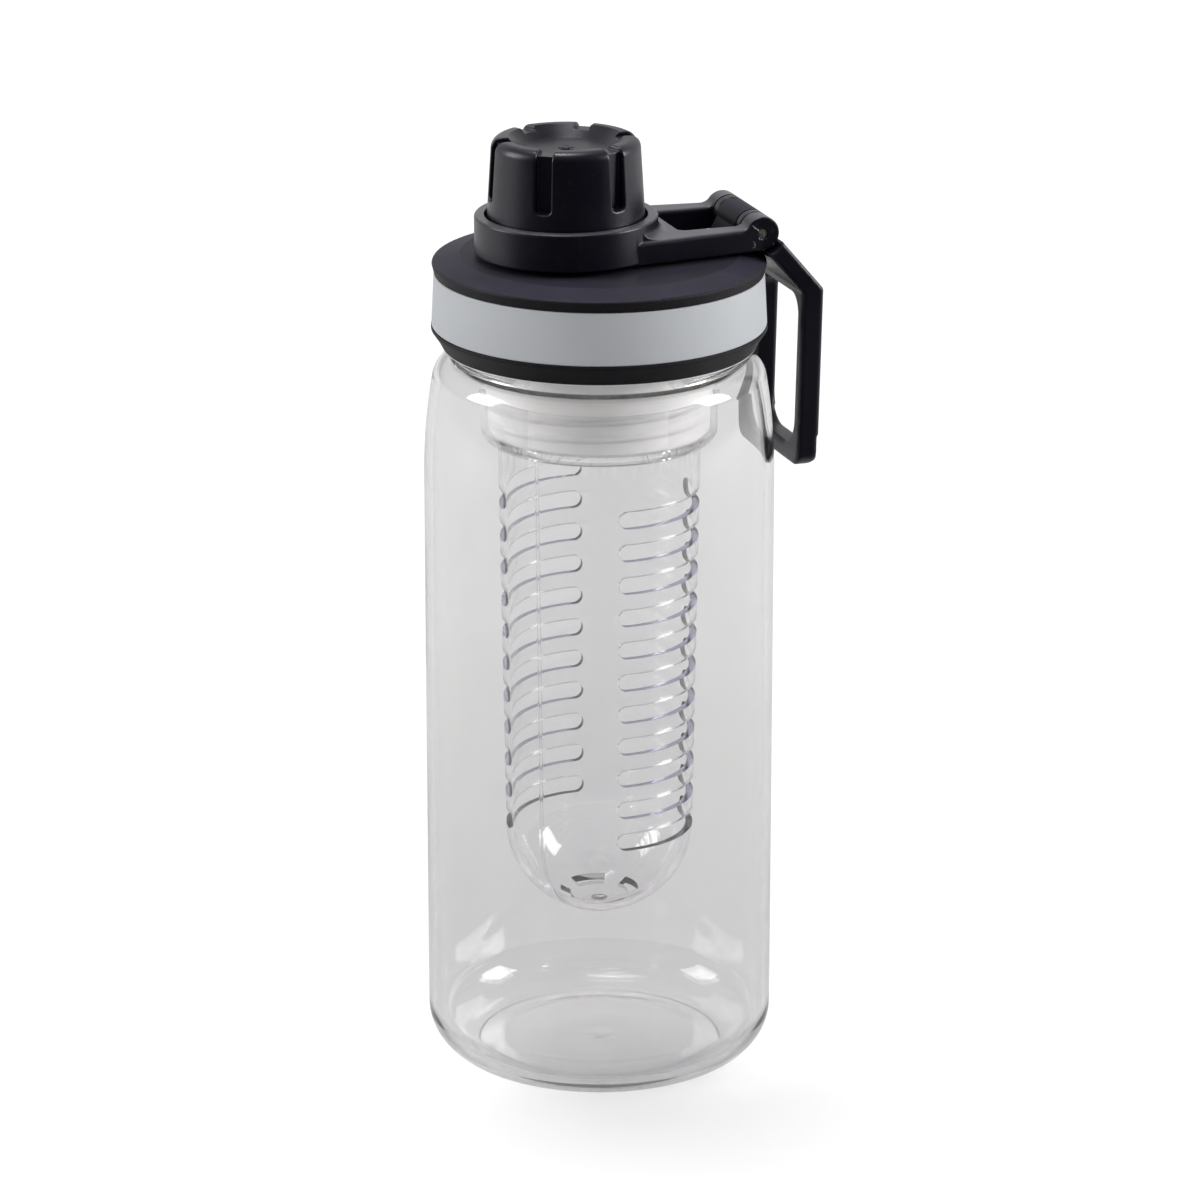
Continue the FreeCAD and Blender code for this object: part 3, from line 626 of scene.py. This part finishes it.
# screw ridge: a rounded bead that winds up a cylinder and fades at both ends
def makeScrewTree():
    tree = bpy.data.node_groups.new("screwRidge", "GeometryNodeTree")
    tree.interface.new_socket("Geometry", in_out="OUTPUT", socket_type="NodeSocketGeometry")
    for label, value in (("Radius", 0.02), ("Lead", 0.004), ("Turns", 2.0), ("Bead Height", 0.001),
                         ("Bead Half Width", 0.0008), ("Start Angle", 0.0), ("Start Height", 0.0), ("Axis X", 0.0)):
        tree.interface.new_socket(label, in_out="INPUT", socket_type="NodeSocketFloat").default_value = value
    tree.interface.new_socket("Finish", in_out="INPUT", socket_type="NodeSocketMaterial")
    ins = put(tree, "NodeGroupInput").outputs
    path = put(tree, "GeometryNodeCurveSpiral",
               {"Start Radius": ins["Radius"], "End Radius": ins["Radius"], "Rotations": ins["Turns"],
                "Height": times(tree, ins["Lead"], ins["Turns"]), "Resolution": 64, "Reverse": True})
    share = put(tree, "GeometryNodeSplineParameter").outputs["Factor"]
    sevenths = times(tree, ins["Turns"], 7.0)  # a seventh of a turn brings the bead to its full height
    leadIn = times(tree, share, sevenths)
    leadOut = times(tree, maths(tree, "SUBTRACT", 1.0, share), sevenths)
    fade = maths(tree, "MAXIMUM", maths(tree, "MINIMUM", maths(tree, "MINIMUM", leadIn, leadOut), 1.0), 0.06)
    faded = put(tree, "GeometryNodeSetCurveRadius", {"Curve": path.outputs[0], "Radius": fade})
    upright = put(tree, "GeometryNodeSetCurveNormal", {"Curve": faded.outputs[0]}, mode="Z_UP")
    bead = put(tree, "GeometryNodeCurvePrimitiveCircle", {"Resolution": 12, "Radius": 1.0})
    size = put(tree, "ShaderNodeCombineXYZ", {"X": ins["Bead Height"], "Y": ins["Bead Half Width"], "Z": 1.0})
    section = put(tree, "GeometryNodeTransform", {"Geometry": bead.outputs[0], "Scale": size.outputs[0]})
    swept = put(tree, "GeometryNodeCurveToMesh", {"Curve": upright.outputs[0], "Profile Curve": section.outputs[0],
                                                  "Fill Caps": True})
    turn = put(tree, "ShaderNodeCombineXYZ", {"Z": ins["Start Angle"]})
    place = put(tree, "ShaderNodeCombineXYZ", {"X": ins["Axis X"], "Z": ins["Start Height"]})
    placed = put(tree, "GeometryNodeTransform", {"Geometry": swept.outputs[0], "Translation": place.outputs[0],
                                                 "Rotation": turn.outputs[0]})
    smooth = put(tree, "GeometryNodeSetShadeSmooth", {"Geometry": placed.outputs[0]})
    real = put(tree, "GeometryNodeRealizeInstances", {"Geometry": smooth.outputs[0]})
    dressed = put(tree, "GeometryNodeSetMaterial", {"Geometry": real.outputs[0], "Material": ins["Finish"]})
    put(tree, "NodeGroupOutput", {0: dressed.outputs[0]})
    return tree


screwTree = makeScrewTree()


def grown(tree, values):
    holder = held(bpy.data.meshes.new("holder"))
    nodes = holder.modifiers.new("nodes", "NODES")
    nodes.node_group = tree
    for item in tree.interface.items_tree:
        if item.item_type == "SOCKET" and item.in_out == "INPUT" and item.name in values:
            nodes[item.identifier] = values[item.name]
    return settled(holder)


lidScrew = {"Radius": 34.45 * mm, "Lead": 4.0 * mm, "Turns": 2.6, "Start Height": 174.0 * mm, "Start Angle": 0.0,
            "Bead Height": 0.95 * mm, "Bead Half Width": 0.80 * mm, "Finish": milkyLiner}
linerScrew = {"Radius": 25.1 * mm, "Lead": 4.0 * mm, "Turns": 2.0, "Start Height": 152.6 * mm, "Start Angle": 0.4,
              "Bead Height": 0.38 * mm, "Bead Half Width": 0.70 * mm, "Finish": milkyLiner}
spoutScrew = {"Radius": 11.1 * mm, "Lead": 3.5 * mm, "Turns": 2.5, "Start Height": 201.5 * mm, "Start Angle": 0.0,
              "Bead Height": 0.60 * mm, "Bead Half Width": 0.75 * mm, "Axis X": spoutX * mm, "Finish": blackLid}
capScrew = {"Radius": 14.25 * mm, "Lead": 3.5 * mm, "Turns": 2.5, "Start Height": 199.75 * mm, "Start Angle": 0.0,
            "Bead Height": 0.50 * mm, "Bead Half Width": 0.70 * mm, "Axis X": spoutX * mm, "Finish": blackCap}
newPiece("lidScrew", grown(screwTree, lidScrew), milkyLiner, "lid")
newPiece("linerScrew", grown(screwTree, linerScrew), milkyLiner, "lid")
newPiece("spoutScrew", grown(screwTree, spoutScrew), blackLid, "lid")
newPiece("capScrew", grown(screwTree, capScrew), blackCap, "cap")
print("screw ridges: lid, liner, spout and cap")


# gate marks: the small flat nub where the mould was filled
def gateNub(radius, height, x, z, down=False):
    profile = [(0.0, 0.0), (radius * 1.25, 0.0), (radius * 1.05, height * 0.35), (radius, height * 0.8),
               (radius * 0.85, height), (radius * 0.55, height * 0.72), (0.0, height * 0.66)]
    if down:
        profile = [(out, -up) for out, up in reversed(profile)]
    return moved(turned(profile, 24), x, z)


capGate = {"radius": 1.5, "height": 0.5, "x": spoutX, "z": 216.66}
basketGate = {"radius": 1.7, "height": 0.7, "x": 0.0, "z": 34.86, "down": True}
newPiece("capGate", gateNub(**capGate), blackCap, "cap")
newPiece("basketGate", gateNub(**basketGate), clearBasket, "infuser")
print("gate marks: cap and basket")


view = {"azimuth": -19.2, "elevation": 18.0, "distance": 1.300, "lens": 169.5, "aim": (0.00017, -0.00006, 0.1095)}
up = Vector((0.0, 0.0, 1.0))


def towards(azimuth, elevation):
    side, rise = math.radians(azimuth), math.radians(elevation)
    return Vector((math.sin(side), -math.cos(side), 0.0)) * math.cos(rise) + up * math.sin(rise)


def stand(thing, centre, out, distance):  # looking back at the centre
    thing.location = Vector(centre) + out * distance
    thing.rotation_euler = (-out).to_track_quat("-Z", "Y").to_euler()
    scene.collection.objects.link(thing)


camera = bpy.data.objects.new("camera", bpy.data.cameras.new("camera"))
camera.data.lens = view["lens"]
camera.data.sensor_width = 36.0
camera.data.clip_start = 0.01
camera.data.clip_end = 200.0
stand(camera, view["aim"], towards(view["azimuth"], view["elevation"]), view["distance"])
scene.camera = camera

softboxes = {  # turn from the camera and height in degrees, the rest in metres and watts
    "leftBox": {"turn": -90, "rise": 25, "away": 1.1, "width": 0.45, "height": 0.6, "power": 5.3},
    "rightBox": {"turn": 90, "rise": 25, "away": 1.2, "width": 0.45, "height": 0.6, "power": 9.5},
    "backBox": {"turn": 205, "rise": 79, "away": 1.3, "width": 0.4, "height": 0.4, "power": 6.5},
}
for name, box in softboxes.items():
    lamp = bpy.data.lights.new(name, "AREA")
    lamp.shape = "RECTANGLE"
    lamp.size = box["width"]
    lamp.size_y = box["height"]
    lamp.energy = box["power"]
    out = towards(view["azimuth"] + box["turn"], box["rise"])
    stand(bpy.data.objects.new(name, lamp), (0.0, 0.0, 0.11), out, box["away"])


# soft reflections see a studio that is white on three sides and dark on the one it is photographed from;
# sharp rays, through and on clear plastic, see even grey; the camera sees white
tent = {"openSide": towards(view["azimuth"], 0.0), "frontTo": 0.45, "sideFrom": 0.12}


def raySorts(tree):
    ray = put(tree, "ShaderNodeLightPath").outputs
    sharp = maths(tree, "MAXIMUM", ray["Is Transmission Ray"], ray["Is Singular Ray"])
    return ray["Is Camera Ray"], sharp, maths(tree, "SUBTRACT", ray["Is Glossy Ray"], sharp, True)


def threeSided(tree, direction, look):
    front = dot(tree, direction, tent["openSide"])
    return ramp(tree, front, tent["frontTo"], tent["sideFrom"], look["tentFront"], look["tentSide"])


floorLook = {
    "half": 40.0, "paper": (0.93, 0.93, 0.93, 1), "fibre": (0.85, 0.85, 0.85, 1), "seen": 0.83,
    "nearShadowGrey": 0.52, "farGrey": 0.60, "greyFrom": 0.08, "greyTo": 0.32, "tentFront": 0.03, "tentSide": 0.55,
    "glow": 0.75, "glowFrom": 0.25, "glowTo": 1.6,  # a lit backdrop takes over away from the object
}


def paleFloor(look):
    half = look["half"]
    mesh = bpy.data.meshes.new("studioFloor")
    mesh.from_pydata([(-half, -half, 0), (half, -half, 0), (half, half, 0), (-half, half, 0)], [], [(0, 1, 2, 3)])
    material, tree = newMaterial("studioPaper")
    coords = objectCoords(tree)
    seen, sharp, mirrored = raySorts(tree)
    away = put(tree, "ShaderNodeVectorMath", {0: coords}, operation="LENGTH").outputs["Value"]
    outward = put(tree, "ShaderNodeVectorMath", {0: coords}, operation="NORMALIZE").outputs["Vector"]
    # painted shadow: for rays other than the camera's the floor is darker near the object
    share = ramp(tree, away, look["greyFrom"], look["greyTo"], look["nearShadowGrey"], look["farGrey"])
    share = mixValue(tree, mirrored, share, threeSided(tree, outward, look))
    share = mixValue(tree, seen, share, look["seen"])
    paper = tinted(tree, look["paper"], noise(tree, coords, 900.0), 0.03, look["fibre"])
    colour = put(tree, "ShaderNodeVectorMath", {0: paper, "Scale": share}, operation="SCALE").outputs[0]
    glow = times(tree, ramp(tree, away, look["glowFrom"], look["glowTo"], 0.0, look["glow"]), share)
    finishWith(tree, put(tree, "ShaderNodeBsdfPrincipled",
                         {"Base Color": colour, "Roughness": 0.9, "Specular IOR Level": 0.0,
                          "Emission Color": (1, 1, 1, 1), "Emission Strength": glow}))
    mesh.materials.append(material)
    floor = bpy.data.objects.new("studioFloor", mesh)
    scene.collection.objects.link(floor)


skyLook = {
    "horizon": 0.08, "zenith": 0.78, "dimTo": 0.12, "brightFrom": 0.75,  # for diffuse light
    "tentFront": 0.02, "tentSide": 0.65, "tentRoof": 0.17, "roofFrom": 0.45, "roofTo": 0.85,
    "throughHorizon": 0.50, "throughZenith": 0.68, "seen": 1.0,
}


def studioSky(look):
    world = bpy.data.worlds.new("studioWorld")
    world.use_nodes = True
    tree = world.node_tree
    tree.nodes.clear()
    direction = put(tree, "ShaderNodeTexCoord").outputs["Generated"]
    height = put(tree, "ShaderNodeSeparateXYZ", {0: direction}).outputs["Z"]
    seen, sharp, mirrored = raySorts(tree)
    glow = ramp(tree, height, look["dimTo"], look["brightFrom"], look["horizon"], look["zenith"], "SMOOTHSTEP")
    through = ramp(tree, height, 0.0, 1.0, look["throughHorizon"], look["throughZenith"])
    roof = ramp(tree, height, look["roofFrom"], look["roofTo"])
    white = mixValue(tree, roof, threeSided(tree, direction, look), look["tentRoof"])
    glow = mixValue(tree, mirrored, glow, white)
    glow = mixValue(tree, sharp, glow, through)
    glow = mixValue(tree, seen, glow, look["seen"])
    back = put(tree, "ShaderNodeBackground", {"Color": (1, 1, 1, 1), "Strength": glow})
    put(tree, "ShaderNodeOutputWorld", {"Surface": back.outputs[0]})
    scene.world = world


paleFloor(floorLook)
studioSky(skyLook)
scene.view_settings.view_transform = "Standard"
print("stage: camera, three soft boxes, floor and sky")
